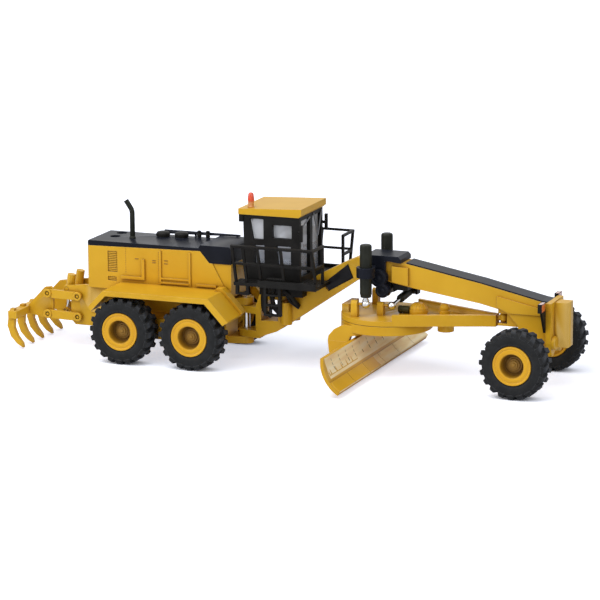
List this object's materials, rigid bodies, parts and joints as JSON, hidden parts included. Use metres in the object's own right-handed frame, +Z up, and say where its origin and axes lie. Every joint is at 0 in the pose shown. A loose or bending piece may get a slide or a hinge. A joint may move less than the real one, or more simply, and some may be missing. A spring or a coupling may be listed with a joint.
{
  "type": "scale model of a motor grader",
  "caption": "Die-cast scale model of a large articulated motor grader with cab, blade on a turning circle, lift cylinders and rear ripper.",
  "frame": {"origin": "on the ground under the middle of the model's length, on its centre line", "axes": "+X forward along the machine, +Y to its left, +Z up"},
  "size_m": [0.1288, 0.0556, 0.0385],
  "materials": {
    "yellow_paint": "semi-gloss",
    "black_plastic": "satin",
    "tyre_rubber": "matt",
    "bright_metal": "polished",
    "clear_plastic": "clear",
    "orange_plastic": "gloss",
    "seat_plastic": "matt",
    "worn_print": "satin"
  },
  "bodies": {
    "rear_frame": {"rear_chassis": "yellow_paint", "engine_hood": "yellow_paint", "hood_top": "black_plastic", "exhaust_stack": "black_plastic", "fenders": "yellow_paint", "hitch_pin": "bright_metal"},
    "front_frame": {"front_frame": "yellow_paint", "beam_walkway": "black_plastic", "push_plate": "yellow_paint", "lamp_brackets": "black_plastic", "marker_lamps": "orange_plastic", "front_axle": "yellow_paint", "cab_shell": "black_plastic", "cab_roof": "yellow_paint", "cab_glazing": "clear_plastic", "cab_interior": "seat_plastic", "beacon": "orange_plastic", "decks": "black_plastic", "handrails": "black_plastic", "cab_underwork": "black_plastic", "saddle": "black_plastic", "saddle_link": "black_plastic"},
    "knuckle_right": {"knuckle_right": "yellow_paint"},
    "knuckle_left": {"knuckle_left": "yellow_paint"},
    "tie_rod": {"tie_rod": "yellow_paint"},
    "lift_barrel_right": {"lift_barrel_right": "black_plastic"},
    "lift_barrel_left": {"lift_barrel_left": "black_plastic"},
    "lift_rod_right": {"lift_rod_right": "bright_metal"},
    "lift_rod_left": {"lift_rod_left": "bright_metal"},
    "shift_cylinder": {"shift_barrel": "black_plastic", "shift_rod": "bright_metal"},
    "drawbar": {"drawbar": "yellow_paint", "circle_motor": "black_plastic"},
    "circle": {"circle": "yellow_paint", "moldboard": "yellow_paint", "cutting_edge": "worn_print"},
    "ripper_lower_link": {"ripper_lower_link": "yellow_paint"},
    "ripper_upper_link": {"ripper_upper_link": "yellow_paint"},
    "ripper_beam": {"ripper_beam": "yellow_paint"},
    "ripper_barrels": {"ripper_barrels": "yellow_paint"},
    "ripper_rods": {"ripper_rods": "bright_metal"},
    "wheel_front_right": {"tyre_front_right": "tyre_rubber", "rim_front_right": "yellow_paint"},
    "wheel_front_left": {"tyre_front_left": "tyre_rubber", "rim_front_left": "yellow_paint"},
    "wheel_middle_right": {"tyre_middle_right": "tyre_rubber", "rim_middle_right": "yellow_paint"},
    "wheel_middle_left": {"tyre_middle_left": "tyre_rubber", "rim_middle_left": "yellow_paint"},
    "wheel_rear_right": {"tyre_rear_right": "tyre_rubber", "rim_rear_right": "yellow_paint"},
    "wheel_rear_left": {"tyre_rear_left": "tyre_rubber", "rim_rear_left": "yellow_paint"}
  },
  "joints": [
    {"name": "articulation", "type": "hinge", "parent": "rear_frame", "child": "front_frame", "pos_m": [-0.0103, 0, 0.00875], "axis": [0, 0, 1], "range_deg": [-25, 25]},
    {"name": "steer_right", "type": "hinge", "parent": "front_frame", "child": "knuckle_right", "pos_m": [0.05645, -0.009, 0.0074], "axis": [0, 0, 1], "range_deg": [-40, 40]},
    {"name": "steer_left", "type": "hinge", "parent": "front_frame", "child": "knuckle_left", "pos_m": [0.05645, 0.009, 0.0074], "axis": [0, 0, 1], "range_deg": [-40, 40]},
    {"name": "tie_rod_pivot", "type": "hinge", "parent": "knuckle_right", "child": "tie_rod", "pos_m": [0.05325, -0.009, 0.0074], "axis": [0, 0, 1], "range_deg": [-40, 40]},
    {"name": "blade_lift", "type": "hinge", "parent": "front_frame", "child": "drawbar", "pos_m": [0.04955, 0, 0.014], "axis": [0, 1, 0], "range_deg": [-2.2, 1]},
    {"name": "circle_turn", "type": "hinge", "parent": "drawbar", "child": "circle", "pos_m": [0.02285, 0, 0.011], "axis": [0, 0, 1], "range_deg": [-50, 50]},
    {"name": "shift_pivot", "type": "hinge", "parent": "front_frame", "child": "shift_cylinder", "pos_m": [0.02645, 0.0056, 0.0171], "axis": [1, 0, 0], "range_deg": [-2.75, 6]},
    {"name": "ripper_lift", "type": "hinge", "parent": "rear_frame", "child": "ripper_lower_link", "pos_m": [-0.04935, 0, 0.0072], "axis": [0, 1, 0], "range_deg": [0, 30]},
    {"name": "ripper_upper_pivot", "type": "hinge", "parent": "rear_frame", "child": "ripper_upper_link", "pos_m": [-0.04935, 0, 0.0119], "axis": [0, 1, 0], "range_deg": [0, 30]},
    {"name": "ripper_beam_pivot", "type": "hinge", "parent": "ripper_lower_link", "child": "ripper_beam", "pos_m": [-0.0568, 0, 0.0074], "axis": [0, 1, 0], "range_deg": [-30, 0]},
    {"name": "ripper_trunnion", "type": "hinge", "parent": "rear_frame", "child": "ripper_barrels", "pos_m": [-0.05235, 0, 0.0133], "axis": [0, 1, 0], "range_deg": [-7.7, 0]},
    {"name": "ripper_rod_slide", "type": "slide", "parent": "ripper_barrels", "child": "ripper_rods", "axis": [0.1601, 0, 0.9871], "range_m": [0, 0.002]},
    {"name": "lift_trunnion_right", "type": "hinge", "parent": "front_frame", "child": "lift_barrel_right", "pos_m": [0.0204, -0.0066, 0.023], "axis": [0, 1, 0], "range_deg": [-0.36, 0.78]},
    {"name": "lift_slide_right", "type": "slide", "parent": "lift_barrel_right", "child": "lift_rod_right", "axis": [0, 0, 1], "range_m": [-0.00113, 0.00052]},
    {"name": "lift_trunnion_left", "type": "hinge", "parent": "front_frame", "child": "lift_barrel_left", "pos_m": [0.0204, 0.0066, 0.023], "axis": [0, 1, 0], "range_deg": [-0.36, 0.78]},
    {"name": "lift_slide_left", "type": "slide", "parent": "lift_barrel_left", "child": "lift_rod_left", "axis": [0, 0, 1], "range_m": [-0.00113, 0.00052]},
    {"name": "roll_front_right", "type": "hinge", "parent": "knuckle_right", "child": "wheel_front_right", "pos_m": [0.05645, -0.0135, 0.0074], "axis": [0, 1, 0], "continuous": true},
    {"name": "roll_front_left", "type": "hinge", "parent": "knuckle_left", "child": "wheel_front_left", "pos_m": [0.05645, 0.0135, 0.0074], "axis": [0, 1, 0], "continuous": true},
    {"name": "roll_middle_right", "type": "hinge", "parent": "rear_frame", "child": "wheel_middle_right", "pos_m": [-0.01725, -0.0135, 0.0074], "axis": [0, 1, 0], "continuous": true},
    {"name": "roll_middle_left", "type": "hinge", "parent": "rear_frame", "child": "wheel_middle_left", "pos_m": [-0.01725, 0.0135, 0.0074], "axis": [0, 1, 0], "continuous": true},
    {"name": "roll_rear_right", "type": "hinge", "parent": "rear_frame", "child": "wheel_rear_right", "pos_m": [-0.03385, -0.0135, 0.0074], "axis": [0, 1, 0], "continuous": true},
    {"name": "roll_rear_left", "type": "hinge", "parent": "rear_frame", "child": "wheel_rear_left", "pos_m": [-0.03385, 0.0135, 0.0074], "axis": [0, 1, 0], "continuous": true}
  ],
  "couplings": [
    {"joint": "steer_left", "follows": "steer_right", "ratio": 1},
    {"joint": "tie_rod_pivot", "follows": "steer_right", "ratio": -1},
    {"joint": "shift_pivot", "follows": "blade_lift", "ratio": -2.7},
    {"joint": "ripper_upper_pivot", "follows": "ripper_lift", "ratio": 1},
    {"joint": "ripper_beam_pivot", "follows": "ripper_lift", "ratio": -1},
    {"joint": "ripper_trunnion", "follows": "ripper_lift", "ratio": -0.255},
    {"joint": "ripper_rod_slide", "follows": "ripper_lift", "m_per_rad": 0.003726},
    {"joint": "lift_trunnion_right", "follows": "blade_lift", "ratio": -0.35},
    {"joint": "lift_slide_right", "follows": "blade_lift", "m_per_rad": 0.0291},
    {"joint": "lift_trunnion_left", "follows": "blade_lift", "ratio": -0.35},
    {"joint": "lift_slide_left", "follows": "blade_lift", "m_per_rad": 0.0291}
  ]
}
